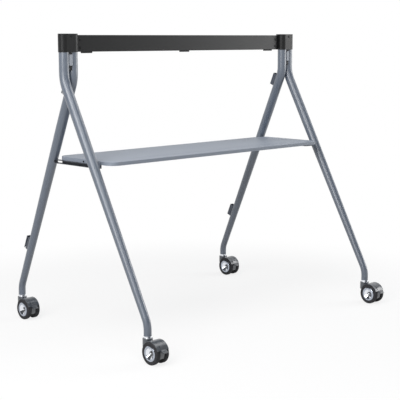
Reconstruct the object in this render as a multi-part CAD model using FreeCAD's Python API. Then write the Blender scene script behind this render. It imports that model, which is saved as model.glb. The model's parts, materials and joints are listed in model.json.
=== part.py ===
"""Mobile television stand: two pairs of bent legs, a cross beam, a shelf and four braked casters.

The stand faces -Y, X runs along the beam and Z is up, with the floor at zero.
Every length is in millimetres.
"""
import FreeCAD
import Part
import math
import os

Vector = FreeCAD.Vector

# Leg tubes: each pair stands side by side at the top, one bent forward and one bent back
outer_leg_x = 725.0
leg_radius = 22.5
foot_radius = 16.5
leg_wall = 2.0
leg_pair_gap = 0.4
leg_top_z = 1327.0
upper_bend_radius = 150.0
lower_bend_radius = 100.0
front_reach = 527.0
front_straight = 199.0
front_lower_corner_z = 157.0
rear_reach = 429.0
rear_straight = 193.0
rear_lower_corner_z = 150.0
taper_start_share = 0.24
front_upper_corner_z = leg_top_z - front_straight
rear_upper_corner_z = leg_top_z - rear_straight
inner_leg_x = outer_leg_x - 2 * leg_radius - leg_pair_gap
pair_middle_x = (outer_leg_x + inner_leg_x) / 2

# General clearances and cut overruns
seat_clearance = 0.15
running_clearance = 0.05
body_clearance = 0.3
cut_overrun = 5.0

# Sleeve caps over the tops of each leg pair
cap_wall = 1.85
cap_top_wall = 3.0
cap_top_gap = 1.0
cap_grip = 74.5
cap_corner_radius = 8.0
cap_edge_radius = 1.2
cap_radius = leg_radius + seat_clearance + cap_wall
cap_ceiling_z = leg_top_z + cap_top_gap
cap_top_z = cap_ceiling_z + cap_top_wall
cap_bottom_z = leg_top_z - cap_grip

# Cap screw, sunk in the middle of the sleeve's front
cap_screw_drop = 13.0
cap_screw_head_radius = 4.5
cap_screw_head_length = 4.0
cap_screw_shank_radius = 2.9
cap_screw_shank_length = 7.0
cap_screw_sink = 0.6
cap_screw_hole_play = 0.3
hex_socket_radius = 2.0
hex_socket_depth = 2.0

# Spacer block and silver tie plate in the valley between the two tubes
tie_plate_width = 15.0
tie_plate_height = 47.0
tie_plate_thickness = 5.5
tie_plate_drop = 10.0
spacer_depth = 9.0
spacer_tail = 20.0
valley_half = pair_middle_x - inner_leg_x - tie_plate_width / 2
valley_depth = math.sqrt((leg_radius + seat_clearance) ** 2 - valley_half ** 2)
tie_plate_back_y = -valley_depth
tie_plate_front_y = tie_plate_back_y - tie_plate_thickness
tie_plate_top_z = cap_bottom_z - tie_plate_drop
tie_plate_bottom_z = tie_plate_top_z - tie_plate_height

# Cross beam, a flat rectangular tube between the caps
beam_front_y = 5.0
beam_depth = 19.0
beam_height = 72.5
beam_top_drop = 1.5
beam_wall = 2.5
beam_edge_radius = 2.0
beam_end_gap = 0.2
beam_groove_drop = 9.0
beam_groove_height = 1.2
beam_groove_depth = 0.8
beam_half_length = inner_leg_x - cap_radius - beam_end_gap
beam_top_z = leg_top_z - beam_top_drop
beam_bottom_z = beam_top_z - beam_height

# Spigots that carry the beam, and the two screws through each end of it
spigot_clearance = 0.2
spigot_length = 64.0
spigot_tail = 14.0
beam_screw_inset = 23.5
beam_screw_pitch = 33.5
beam_screw_upper_drop = 21.5
beam_screw_head_radius = 5.0
beam_screw_head_height = 2.6
beam_screw_shank_radius = 2.9
beam_screw_shank_length = 14.0

# Rest pads under the beam
pad_length = 60.0
pad_depth = 9.0
pad_back_inset = 1.0
pad_height = 6.0
pad_corner_radius = 3.0
pad_inset = 67.0

# Shelf pan
shelf_drop = 534.0
shelf_end_inset = 2.6
shelf_depth = 380.0
shelf_rear_gap = 1.2
shelf_height = 16.0
shelf_sheet = 2.0
shelf_corner_radius = 45.0
shelf_edge_radius = 1.5
shelf_lip = 12.0
shelf_groove_inset = 68.0
shelf_groove_half_length = 515.0
shelf_groove_width = 3.0
shelf_groove_depth = 0.9
shelf_top_z = leg_top_z - shelf_drop
shelf_bottom_z = shelf_top_z - shelf_height
shelf_half_width = inner_leg_x - shelf_end_inset
rear_lean = rear_reach / (rear_upper_corner_z - rear_lower_corner_z)
shelf_rear_y = rear_lean * (rear_upper_corner_z - shelf_top_z) - leg_radius - shelf_rear_gap
shelf_front_y = shelf_rear_y - shelf_depth

# Side rails under the shelf, pressed channels that run from leg to leg
rail_overlap = 7.0
rail_width = 20.0
rail_height = 16.0
rail_sheet = 2.5
rail_window = 30.0
rail_top_z = shelf_bottom_z
rail_inner_x = shelf_half_width - rail_overlap

# Shelf brackets, angles welded to the back of the front legs
bracket_sheet = 3.0
bracket_rear_y = -46.0
bracket_top_drop = 5.0
bracket_bottom_drop = 21.0
bracket_foot_depth = 14.0
bracket_foot_bottom_drop = 16.0
shelf_bolt_first = 20.0
shelf_bolt_pitch = 29.5
shelf_bolt_drop = 9.5
shelf_bolt_head_radius = 4.6
shelf_bolt_head_height = 3.4
shelf_bolt_shank_radius = 2.9
shelf_bolt_shank_length = 12.0
shelf_nut_radius = 5.0
shelf_nut_height = 4.5

# Cable channels on the back of the rear legs
clip_upper_drop = 241.0
clip_lower_z = 358.0
clip_length = 60.0
clip_width = 24.0
clip_proud = 23.0
clip_wall = 2.2
clip_slot = 7.0
clip_corner_radius = 6.0
clip_upper_z = leg_top_z - clip_upper_drop

# Casters: wheels
wheel_radius = 48.0
wheel_width = 18.5
wheel_face_x = 33.0
wheel_shoulder_radius = 4.0
tyre_seat_radius = 36.5
tyre_lip_radius = 32.5
tyre_lip_width = 3.3
wheel_inner_x = wheel_face_x - wheel_width

# Casters: chromed hubs
hub_inset = 1.0
hub_ring_inner_radius = 23.0
hub_ring_crest = 1.6
hub_dish_radius = 9.5
hub_dish_depth = 8.5
hub_boss_height = 2.4
hub_boss_flat_radius = 3.0
hub_pocket_inner_radius = 10.0
hub_rim_wall = 3.0
hub_pocket_depth = 4.5
axle_radius = 4.0
axle_bore_depth = 7.5

# Casters: swivel housing with its hood
trail = 47.5
barrel_radius = 21.5
barrel_top = 49.7
barrel_foot = 16.0
barrel_recess = 3.0
barrel_recess_play = 1.5
hood_inner_radius = 48.7
hood_outer_radius = 50.7
hood_edge_radius = 1.0
hood_half_width = 30.5
hood_front_angle = 21.0
hood_rear_angle = 150.0
hood_groove_width = 1.2
hood_groove_depth = 0.9
web_half_width = 11.0
web_radius = 43.0
web_cut_drop = 20.0
wheel_side_clearance = 1.0
barrel_top_z = wheel_radius + barrel_top

# Casters: stem, chromed collar and socket in the foot of each leg
collar_show = 10.3
stem_radius = 5.5
stem_thread_radius = 5.9
stem_foot_z = 70.0
socket_height = 20.0
socket_bore_play = 0.1
leg_end_z = barrel_top_z + collar_show

# Casters: brake pedal, a lever between the wheels that stands a little proud of the hood
pedal_half_width = 13.3
pedal_play = 0.4
pedal_outer_radius = 53.0
pedal_inner_radius = 47.5
pedal_rear_angle = 46.0
pedal_bend_angle = 38.0
pedal_root_radius = 51.0
pedal_root_angle = 23.8
pedal_foot_angle = 18.4
pedal_lip_reach = 62.7
pedal_lip_rise = 11.3
pedal_lip_radius = 1.9
pedal_pivot_angle = 41.0
pedal_pivot_radius = 38.0
pedal_knuckle_radius = 3.0
pedal_tongue_half_width = 4.0
pedal_tongue_spread = 3.5
pedal_slot_spread = 10.0
pedal_slot_play = 1.2
pedal_tongue_overlap = 0.5
trunnion_radius = 1.6
trunnion_length = 5.0
pedal_window_angle = 47.5

# Reach of the whole stand forward and back of the leg tops, and the origin between them
whole_front_reach = front_reach + trail + pedal_lip_reach + pedal_lip_radius
whole_rear_reach = rear_reach + barrel_radius
origin_shift = Vector(0, (whole_front_reach - whole_rear_reach) / 2, 0)

sides = {"left": -1, "right": 1}
ends = {"front": -1, "rear": 1}


def save(name, shape):
    """Write one piece to its own file, in the stand's frame."""
    placed = shape.copy()
    placed.translate(origin_shift)
    placed.exportStep("parts/" + name + ".step")


def box(x_low, x_high, y_low, y_high, z_low, z_high):
    """A box between two corners, whichever way round each pair of limits is."""
    x_start, y_start, z_start = min(x_low, x_high), min(y_low, y_high), min(z_low, z_high)
    corner = Vector(x_start, y_start, z_start)
    return Part.makeBox(abs(x_high - x_low), abs(y_high - y_low), abs(z_high - z_low), corner)


def rod(radius, start, end):
    """A round rod between two points."""
    along = end - start
    return Part.makeCylinder(radius, along.Length, start, along)


def fuse_all(shapes):
    """One solid from overlapping or touching ones."""
    return shapes[0].multiFuse(shapes[1:]).removeSplitter()


def edges_along(shape, direction):
    """The straight edges of a shape that run along a direction."""
    found = []
    for edge in shape.Edges:
        if not isinstance(edge.Curve, Part.Line):
            continue
        if abs(edge.Curve.Direction.dot(direction)) > 0.999:
            found.append(edge)
    return found


def edges_at_height(shape, height):
    """The edges of a shape that lie in a level plane."""
    return [edge for edge in shape.Edges
            if abs(edge.BoundBox.ZMin - height) < 0.001 and abs(edge.BoundBox.ZMax - height) < 0.001]


# Legs

def leg_sizes(end):
    """Foot reach and the heights of the two corners of a leg's centre line."""
    if end == "front":
        return front_reach, front_upper_corner_z, front_lower_corner_z
    return rear_reach, rear_upper_corner_z, rear_lower_corner_z


def leg_x(side, end):
    """Where the leg's plane stands: the front leg is the outer one of its pair."""
    return sides[side] * (outer_leg_x if end == "front" else inner_leg_x)


def leg_direction(end):
    """Unit vector down the slanted run of a leg."""
    reach, upper_z, lower_z = leg_sizes(end)
    return Vector(0, ends[end] * reach, lower_z - upper_z).normalize()


def taper_start_height(end):
    """Height where a leg begins to taper, a share of the way down its slanted run."""
    reach, upper_z, lower_z = leg_sizes(end)
    return upper_z - taper_start_share * (upper_z - lower_z)


def leg_centre(side, end, height):
    """The point of a leg's slanted centre line at a height."""
    reach, upper_z, lower_z = leg_sizes(end)
    share = (upper_z - height) / (upper_z - lower_z)
    return Vector(leg_x(side, end), ends[end] * reach * share, height)


def leg_solid(side, end, offset, overrun):
    """The solid inside a leg's outline moved by an offset: straight, bend, slant, taper, bend, foot."""
    reach, upper_z, lower_z = leg_sizes(end)
    sign = ends[end]
    plane_x = leg_x(side, end)
    along = leg_direction(end)
    turn = math.atan2(reach, upper_z - lower_z)
    upper_tangent = upper_bend_radius * math.tan(turn / 2)
    lower_tangent = lower_bend_radius * math.tan(turn / 2)
    top_radius = leg_radius + offset
    low_radius = foot_radius + offset
    upper_corner = Vector(plane_x, 0, upper_z)
    lower_corner = Vector(plane_x, sign * reach, lower_z)
    top = Vector(plane_x, 0, leg_top_z + overrun)
    upper_start = upper_corner + Vector(0, 0, upper_tangent)
    upper_end = upper_corner + along * upper_tangent
    taper_start = leg_centre(side, end, taper_start_height(end))
    lower_start = lower_corner - along * lower_tangent
    lower_end = lower_corner - Vector(0, 0, lower_tangent)
    foot = Vector(plane_x, sign * reach, leg_end_z - overrun)
    bend_axis = Vector(sign, 0, 0)
    down = Vector(0, 0, -1)
    upper_face = Part.Face(Part.Wire(Part.makeCircle(top_radius, upper_start, down)))
    upper_centre = upper_start + Vector(0, sign * upper_bend_radius, 0)
    lower_face = Part.Face(Part.Wire(Part.makeCircle(low_radius, lower_end, down)))
    lower_centre = lower_end - Vector(0, sign * lower_bend_radius, 0)
    taper = lower_start - taper_start
    pieces = [
        rod(top_radius, upper_start, top),
        upper_face.revolve(upper_centre, bend_axis, math.degrees(turn)),
        rod(top_radius, upper_end, taper_start),
        Part.makeCone(top_radius, low_radius, taper.Length, taper_start, taper),
        lower_face.revolve(lower_centre, bend_axis, math.degrees(turn)),
        rod(low_radius, foot, lower_end),
    ]
    return fuse_all(pieces)


def leg(side, end):
    """A bent and tapered tube, open at both ends."""
    return leg_solid(side, end, 0, 0).cut(leg_solid(side, end, -leg_wall, cut_overrun))


# Top joints

def cap_outline(side, radius, corner_radius, bottom_z, top_z):
    """A sleeve's plan, round about both tubes but square at the inner back corner, raised to a solid."""
    sign = sides[side]
    inner = inner_leg_x
    outer = outer_leg_x
    half = radius * math.sqrt(0.5)
    corner_half = corner_radius * (1 - math.sqrt(0.5))

    def at(distance, depth):
        return Vector(sign * distance, depth, bottom_z)

    edges = [
        Part.makeLine(at(inner, -radius), at(outer, -radius)),
        Part.Arc(at(outer, -radius), at(outer + radius, 0), at(outer, radius)).toShape(),
        Part.makeLine(at(outer, radius), at(inner - radius + corner_radius, radius)),
        Part.Arc(at(inner - radius + corner_radius, radius),
                 at(inner - radius + corner_half, radius - corner_half),
                 at(inner - radius, radius - corner_radius)).toShape(),
        Part.makeLine(at(inner - radius, radius - corner_radius), at(inner - radius, 0)),
        Part.Arc(at(inner - radius, 0), at(inner - half, -half), at(inner, -radius)).toShape(),
    ]
    return Part.Face(Part.Wire(edges)).extrude(Vector(0, 0, top_z - bottom_z))


def cap_screw_z():
    """Height of the screw in the front of each cap."""
    return cap_top_z - cap_screw_drop


def end_cap(side):
    """The sleeve over a leg pair, with an opening for the beam's spigot and a screw hole."""
    sign = sides[side]
    shell = cap_outline(side, cap_radius, cap_corner_radius, cap_bottom_z, cap_top_z)
    shell = shell.makeFillet(cap_edge_radius, edges_at_height(shell, cap_top_z))
    bore = leg_radius + seat_clearance
    floor = cap_bottom_z - cut_overrun
    hollow = fuse_all([
        rod(bore, Vector(sign * inner_leg_x, 0, floor), Vector(sign * inner_leg_x, 0, cap_ceiling_z)),
        rod(bore, Vector(sign * outer_leg_x, 0, floor), Vector(sign * outer_leg_x, 0, cap_ceiling_z)),
        box(sign * inner_leg_x, sign * outer_leg_x, -bore, bore, floor, cap_ceiling_z),
    ])
    hole_radius = cap_screw_head_radius + cap_screw_hole_play
    middle = Vector(sign * pair_middle_x, 0, cap_screw_z())
    hole = rod(hole_radius, middle - Vector(0, cap_radius + cut_overrun, 0), middle)
    return shell.cut(hollow).cut(spigot_box(side, seat_clearance)).cut(hole)


def cap_screw(side):
    """A socket screw sunk in the cap's front and threaded into the spacer."""
    face_y = -cap_radius + cap_screw_sink
    centre = Vector(sides[side] * pair_middle_x, face_y, cap_screw_z())
    back = Vector(0, 1, 0)
    head = rod(cap_screw_head_radius, centre, centre + back * cap_screw_head_length)
    shank_end = centre + back * (cap_screw_head_length + cap_screw_shank_length)
    shank = rod(cap_screw_shank_radius, centre, shank_end)
    socket = rod(hex_socket_radius, centre - back * cut_overrun, centre + back * hex_socket_depth)
    return fuse_all([head, shank]).cut(socket)


def leg_spacer(side):
    """The block that fills the front valley between two tubes and takes the cap screw."""
    sign = sides[side]
    middle = sign * pair_middle_x
    half = tie_plate_width / 2
    front = tie_plate_back_y + seat_clearance
    bottom = tie_plate_bottom_z - spacer_tail
    block = box(middle - half, middle + half, front, front + spacer_depth, bottom, leg_top_z)
    for end in ends:
        axis_x = leg_x(side, end)
        low = Vector(axis_x, 0, bottom - cut_overrun)
        high = Vector(axis_x, 0, leg_top_z + cut_overrun)
        block = block.cut(rod(leg_radius + seat_clearance, low, high))
    centre = Vector(middle, 0, cap_screw_z())
    hole_radius = cap_screw_shank_radius + running_clearance
    head_radius = cap_screw_head_radius + cap_screw_hole_play
    start = centre - Vector(0, cap_radius, 0)
    head_end = start + Vector(0, cap_screw_sink + cap_screw_head_length + running_clearance, 0)
    return block.cut(rod(hole_radius, start, centre)).cut(rod(head_radius, start, head_end))


def tie_plate(side):
    """The bare metal plate on the front of a leg pair."""
    middle = sides[side] * pair_middle_x
    half = tie_plate_width / 2
    return box(middle - half, middle + half, tie_plate_front_y, tie_plate_back_y,
               tie_plate_bottom_z, tie_plate_top_z)


# Beam

def beam_screw_places(side):
    """Centres of the two screw heads' seats on the beam's front."""
    place_x = sides[side] * (beam_half_length - beam_screw_inset)
    upper_z = beam_top_z - beam_screw_upper_drop
    return [Vector(place_x, beam_front_y, upper_z - row * beam_screw_pitch) for row in range(2)]


def beam():
    """The rectangular tube, with a thin groove along its front and holes for its screws."""
    half = beam_half_length
    back_y = beam_front_y + beam_depth
    outer = box(-half, half, beam_front_y, back_y, beam_bottom_z, beam_top_z)
    outer = outer.makeFillet(beam_edge_radius, edges_along(outer, Vector(1, 0, 0)))
    inner = box(-half - cut_overrun, half + cut_overrun, beam_front_y + beam_wall, back_y - beam_wall,
                beam_bottom_z + beam_wall, beam_top_z - beam_wall)
    groove_top = beam_top_z - beam_groove_drop
    groove = box(-half - cut_overrun, half + cut_overrun, beam_front_y - cut_overrun,
                 beam_front_y + beam_groove_depth, groove_top - beam_groove_height, groove_top)
    tube = outer.cut(inner).cut(groove)
    hole_radius = beam_screw_shank_radius + seat_clearance
    for side in sides:
        for place in beam_screw_places(side):
            out = Vector(0, cut_overrun, 0)
            tube = tube.cut(rod(hole_radius, place - out, place + out))
    return tube


def spigot_box(side, clearance):
    """The bar inside an end of the beam, grown by a clearance."""
    sign = sides[side]
    inset = beam_wall + spigot_clearance - clearance
    start_x = sign * (beam_half_length - spigot_length - clearance)
    end_x = sign * (beam_half_length + spigot_tail + clearance)
    return box(start_x, end_x, beam_front_y + inset, beam_front_y + beam_depth - inset,
               beam_bottom_z + inset, beam_top_z - inset)


def beam_spigot(side):
    """The bar that carries the beam, shaped to the side of the inner tube."""
    axis_x = sides[side] * inner_leg_x
    tube = rod(leg_radius + seat_clearance, Vector(axis_x, 0, beam_bottom_z - cut_overrun),
               Vector(axis_x, 0, beam_top_z + cut_overrun))
    bar = spigot_box(side, 0).cut(tube)
    hole_radius = beam_screw_shank_radius + running_clearance
    for place in beam_screw_places(side):
        bar = bar.cut(rod(hole_radius, place, place + Vector(0, beam_depth, 0)))
    return bar


def button_screw(seat, inward, head_radius, head_height, shank_radius, shank_length):
    """A screw whose low round head stands on its seat and whose shank goes inward."""
    crest = head_height / 2
    head = Part.makeCone(head_radius, head_radius - crest, head_height, seat, inward * -1)
    shank = rod(shank_radius, seat, seat + inward * shank_length)
    top = seat - inward * (head_height + cut_overrun)
    socket = rod(hex_socket_radius, top, seat - inward * (head_height - crest))
    return fuse_all([head, shank]).cut(socket)


def beam_screws(side):
    """The two screws at one end of the beam."""
    inward = Vector(0, 1, 0)
    return [button_screw(place, inward, beam_screw_head_radius, beam_screw_head_height,
                         beam_screw_shank_radius, beam_screw_shank_length)
            for place in beam_screw_places(side)]


def rest_pad(centre_x):
    """A block under the beam that a hanging bracket rests against."""
    half = pad_length / 2
    back_y = beam_front_y + beam_depth - pad_back_inset
    pad = box(centre_x - half, centre_x + half, back_y - pad_depth, back_y,
              beam_bottom_z - pad_height, beam_bottom_z)
    return pad.makeFillet(pad_corner_radius, edges_along(pad, Vector(0, 0, 1)))


# Shelf

def shelf_prism(inset, bottom_z, top_z):
    """A block of the shelf's plan, drawn in from its edges, with rounded corners."""
    half = shelf_half_width - inset
    prism = box(-half, half, shelf_front_y + inset, shelf_rear_y - inset, bottom_z, top_z)
    return prism.makeFillet(shelf_corner_radius - inset, edges_along(prism, Vector(0, 0, 1)))


def shelf_bolt_places(side):
    """Centres of the two bolts on the outside of the shelf's flange."""
    first_y = bracket_rear_y - shelf_bolt_first
    place_x = sides[side] * shelf_half_width
    place_z = shelf_top_z - shelf_bolt_drop
    return [Vector(place_x, first_y - row * shelf_bolt_pitch, place_z) for row in range(2)]


def shelf():
    """The pan: a flat top with turned-down flanges, return lips and a shallow groove."""
    outer = shelf_prism(0, shelf_bottom_z, shelf_top_z)
    outer = outer.makeFillet(shelf_edge_radius, edges_at_height(outer, shelf_top_z))
    hollow = shelf_prism(shelf_sheet, shelf_bottom_z + shelf_sheet, shelf_top_z - shelf_sheet)
    mouth = shelf_prism(shelf_sheet + shelf_lip, shelf_bottom_z - cut_overrun, shelf_top_z - shelf_sheet)
    groove_y = shelf_front_y + shelf_groove_inset
    groove = box(-shelf_groove_half_length, shelf_groove_half_length, groove_y,
                 groove_y + shelf_groove_width, shelf_top_z - shelf_groove_depth,
                 shelf_top_z + cut_overrun)
    pan = outer.cut(hollow).cut(mouth).cut(groove)
    hole_radius = shelf_bolt_shank_radius + seat_clearance
    for side in sides:
        for place in shelf_bolt_places(side):
            out = Vector(cut_overrun, 0, 0)
            pan = pan.cut(rod(hole_radius, place - out, place + out))
    return pan


def side_rail(side):
    """A channel that opens outwards, closed at the back by a rounded end with a window behind it."""
    sign = sides[side]
    rear_y = leg_centre(side, "rear", rail_top_z - rail_height / 2).y
    front_y = bracket_foot_rear_y(side)
    radius = rail_height / 2
    bottom_z = rail_top_z - rail_height
    middle_z = rail_top_z - radius
    end_y = rear_y - leg_radius - radius
    x_in = sign * rail_inner_x
    x_out = sign * (rail_inner_x + rail_width)
    outer = fuse_all([
        box(x_in, x_out, front_y, end_y, bottom_z, rail_top_z),
        rod(radius, Vector(x_in, end_y, middle_z), Vector(x_out, end_y, middle_z)),
    ])
    inner_radius = radius - rail_sheet
    web_out = sign * (rail_inner_x + rail_sheet)
    past_out = x_out + sign * cut_overrun
    past_in = x_in - sign * cut_overrun
    recess = box(web_out, past_out, front_y - cut_overrun, end_y, bottom_z + rail_sheet,
                 rail_top_z - rail_sheet)
    window = fuse_all([
        box(past_in, past_out, end_y - rail_window, end_y, bottom_z + rail_sheet, rail_top_z - rail_sheet),
        rod(inner_radius, Vector(past_in, end_y, middle_z), Vector(past_out, end_y, middle_z)),
    ])
    return outer.cut(recess).cut(window).cut(leg_solid(side, "rear", 0, 0))


def bracket_foot_rear_y(side):
    """Back face of the angle's short arm, which meets the middle of the front leg's flank."""
    height = shelf_top_z - bracket_bottom_drop
    return leg_centre(side, "front", height).y + bracket_foot_depth + bracket_sheet


def shelf_bracket(side):
    """An angle: a long arm bolted to the shelf's flange and a short arm that meets the front leg."""
    sign = sides[side]
    inner_x = sign * shelf_half_width
    outer_x = sign * (shelf_half_width + bracket_sheet)
    top_z = shelf_top_z - bracket_top_drop
    bottom_z = shelf_top_z - bracket_bottom_drop
    foot_rear_y = bracket_foot_rear_y(side)
    foot_front_y = foot_rear_y - bracket_sheet
    foot_bottom_z = bottom_z - bracket_foot_bottom_drop + bracket_top_drop
    arm = box(inner_x, outer_x, foot_front_y, bracket_rear_y, shelf_bottom_z, top_z)
    foot = box(outer_x, sign * outer_leg_x, foot_front_y, foot_rear_y, foot_bottom_z, top_z)
    bracket = fuse_all([arm, foot]).cut(leg_solid(side, "front", 0, 0))
    bracket = max(bracket.Solids, key=lambda solid: solid.Volume)
    hole_radius = shelf_bolt_shank_radius + seat_clearance
    for place in shelf_bolt_places(side):
        out = Vector(cut_overrun, 0, 0)
        bracket = bracket.cut(rod(hole_radius, place - out, place + out))
    return bracket


def shelf_bolts(side):
    """The two bolts that hold a bracket to the shelf."""
    inward = Vector(-sides[side], 0, 0)
    seat_shift = inward * -bracket_sheet
    return [button_screw(place + seat_shift, inward, shelf_bolt_head_radius, shelf_bolt_head_height,
                         shelf_bolt_shank_radius, shelf_bolt_shank_length)
            for place in shelf_bolt_places(side)]


def shelf_nuts(side):
    """The hexagon nuts on the same bolts, behind the flange."""
    inward = Vector(-sides[side], 0, 0)
    nuts = []
    for place in shelf_bolt_places(side):
        start = place + inward * shelf_sheet
        points = []
        for corner in range(7):
            angle = math.radians(60 * corner)
            across = Vector(0, math.cos(angle), math.sin(angle)) * shelf_nut_radius
            points.append(start + across)
        prism = Part.Face(Part.makePolygon(points)).extrude(inward * shelf_nut_height)
        bore = rod(shelf_bolt_shank_radius + running_clearance, start - inward * cut_overrun,
                   start + inward * (shelf_nut_height + cut_overrun))
        nuts.append(prism.cut(bore))
    return nuts


# Cable channels

def cable_clip(side, height):
    """A short channel on the back of a rear leg, with a slot along its outer side."""
    sign = sides[side]
    centre = leg_centre(side, "rear", height)
    along = leg_direction("rear")
    normal = Vector(1, 0, 0).cross(along)
    if normal.y < 0:
        normal = normal * -1
    taper_start_z = taper_start_height("rear")
    share = max(0, (taper_start_z - height) / (taper_start_z - rear_lower_corner_z))
    local_radius = leg_radius + (foot_radius - leg_radius) * share
    half_width = clip_width / 2
    low_n = local_radius / 2
    high_n = local_radius + clip_proud

    def block(half_x, n_low, n_high, length, shift_x):
        corner = centre + Vector(shift_x - half_x, 0, 0) + normal * n_low - along * (length / 2)
        points = [corner, corner + Vector(2 * half_x, 0, 0),
                  corner + Vector(2 * half_x, 0, 0) + normal * (n_high - n_low),
                  corner + normal * (n_high - n_low), corner]
        return Part.Face(Part.makePolygon(points)).extrude(along * length)

    def rounded(solid, radius, least_n):
        chosen = [edge for edge in edges_along(solid, along)
                  if (edge.CenterOfMass - centre).dot(normal) > least_n]
        return solid.makeFillet(radius, chosen)

    outer = rounded(block(half_width, low_n, high_n, clip_length, 0), clip_corner_radius, local_radius)
    hollow = block(half_width - clip_wall, local_radius + clip_wall, high_n - clip_wall,
                   clip_length + 2 * cut_overrun, 0)
    hollow = rounded(hollow, clip_corner_radius - clip_wall, 0)
    slot_n = local_radius + clip_proud / 2
    slot = block(half_width / 2, slot_n - clip_slot / 2, slot_n + clip_slot / 2,
                 clip_length + 2 * cut_overrun, sign * half_width)
    clip = outer.cut(hollow).cut(slot)
    clip = clip.cut(leg_solid(side, "rear", seat_clearance, 0))
    return max(clip.Solids, key=lambda solid: solid.Volume)


# Casters, each made about its stem's axis with its wheels forward of it

def axle_point(radius, angle, x=0):
    """A point about the axle: the angle rises from straight ahead."""
    turn = math.radians(angle)
    return Vector(x, -trail - radius * math.cos(turn), wheel_radius + radius * math.sin(turn))


def sector(inner_radius, outer_radius, first_angle, last_angle, x_low, x_high):
    """A curved block about the axle between two radii and two angles."""
    middle = (first_angle + last_angle) / 2
    edges = [
        Part.Arc(axle_point(outer_radius, first_angle, x_low), axle_point(outer_radius, middle, x_low),
                 axle_point(outer_radius, last_angle, x_low)).toShape(),
        Part.makeLine(axle_point(outer_radius, last_angle, x_low),
                      axle_point(inner_radius, last_angle, x_low)),
        Part.Arc(axle_point(inner_radius, last_angle, x_low), axle_point(inner_radius, middle, x_low),
                 axle_point(inner_radius, first_angle, x_low)).toShape(),
        Part.makeLine(axle_point(inner_radius, first_angle, x_low),
                      axle_point(outer_radius, first_angle, x_low)),
    ]
    return Part.Face(Part.Wire(edges)).extrude(Vector(x_high - x_low, 0, 0))


def caster_housing():
    """Stem barrel, web between the wheels and hood over them, with a window for the pedal."""
    barrel = rod(barrel_radius, Vector(0, 0, wheel_radius + barrel_foot), Vector(0, 0, barrel_top_z))
    recess_radius = foot_radius + barrel_recess_play
    recess = rod(recess_radius, Vector(0, 0, barrel_top_z - barrel_recess),
                 Vector(0, 0, barrel_top_z + cut_overrun))
    hood = sector(hood_inner_radius, hood_outer_radius, hood_front_angle, hood_rear_angle,
                  -hood_half_width, hood_half_width)
    middle_radius = (hood_inner_radius + hood_outer_radius) / 2
    crests = [edge for edge in hood.Edges
              if isinstance(edge.Curve, Part.Circle) and edge.Curve.Radius > middle_radius]
    hood = hood.makeFillet(hood_edge_radius, crests)
    web = rod(web_radius, axle_point(0, 0, -web_half_width), axle_point(0, 0, web_half_width))
    below = box(-barrel_radius, barrel_radius, -trail - wheel_radius, barrel_radius,
                -cut_overrun, wheel_radius - web_cut_drop)
    rib = sector(web_radius - cut_overrun, hood_inner_radius + running_clearance, pedal_window_angle,
                 hood_rear_angle, -web_half_width, web_half_width)
    envelopes = []
    wheel_side_x = wheel_inner_x - wheel_side_clearance
    for sign in (-1, 1):
        envelopes.append(rod(hood_inner_radius, axle_point(0, 0, sign * wheel_side_x),
                             axle_point(0, 0, sign * (wheel_face_x + wheel_width))))
    for envelope in envelopes:
        barrel = barrel.cut(envelope)
    body = fuse_all([barrel, hood, web.cut(below), rib])
    window_half = pedal_half_width + pedal_play
    window = sector(web_radius + pedal_play, hood_outer_radius + cut_overrun,
                    hood_front_angle - cut_overrun, pedal_window_angle, -window_half, window_half)
    stem_bore = rod(stem_radius + running_clearance, Vector(0, 0, stem_foot_z),
                    Vector(0, 0, barrel_top_z + cut_overrun))
    axle_bore = rod(axle_radius + running_clearance, axle_point(0, 0, -barrel_radius),
                    axle_point(0, 0, barrel_radius))
    body = body.cut(recess).cut(window).cut(stem_bore).cut(axle_bore)
    groove_inner = hood_outer_radius - hood_groove_depth
    for sign in (-1, 1):
        near = sign * (window_half + hood_groove_width)
        far = sign * (window_half + 2 * hood_groove_width)
        body = body.cut(sector(groove_inner, hood_outer_radius + cut_overrun, pedal_window_angle,
                               hood_rear_angle, near, far))
    slot_half = pedal_tongue_half_width + pedal_play
    slot_inner = pedal_pivot_radius - pedal_knuckle_radius - pedal_slot_play
    slot = sector(slot_inner, web_radius + cut_overrun, pedal_pivot_angle - pedal_slot_spread,
                  pedal_pivot_angle + pedal_slot_spread, -slot_half, slot_half)
    bore_end = pedal_tongue_half_width + trunnion_length + pedal_play
    pivot_bore = rod(trunnion_radius + running_clearance,
                     axle_point(pedal_pivot_radius, pedal_pivot_angle, -bore_end),
                     axle_point(pedal_pivot_radius, pedal_pivot_angle, bore_end))
    return body.cut(slot).cut(pivot_bore)


def caster_axle():
    """The steel pin that both wheels turn on."""
    end_x = wheel_inner_x + hub_inset + axle_bore_depth - body_clearance
    return rod(axle_radius, axle_point(0, 0, -end_x), axle_point(0, 0, end_x))


def lip_point(rise, x):
    """A point above or below the middle of the pedal's lip."""
    return Vector(x, -trail - pedal_lip_reach, wheel_radius + pedal_lip_rise + rise)


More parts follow.
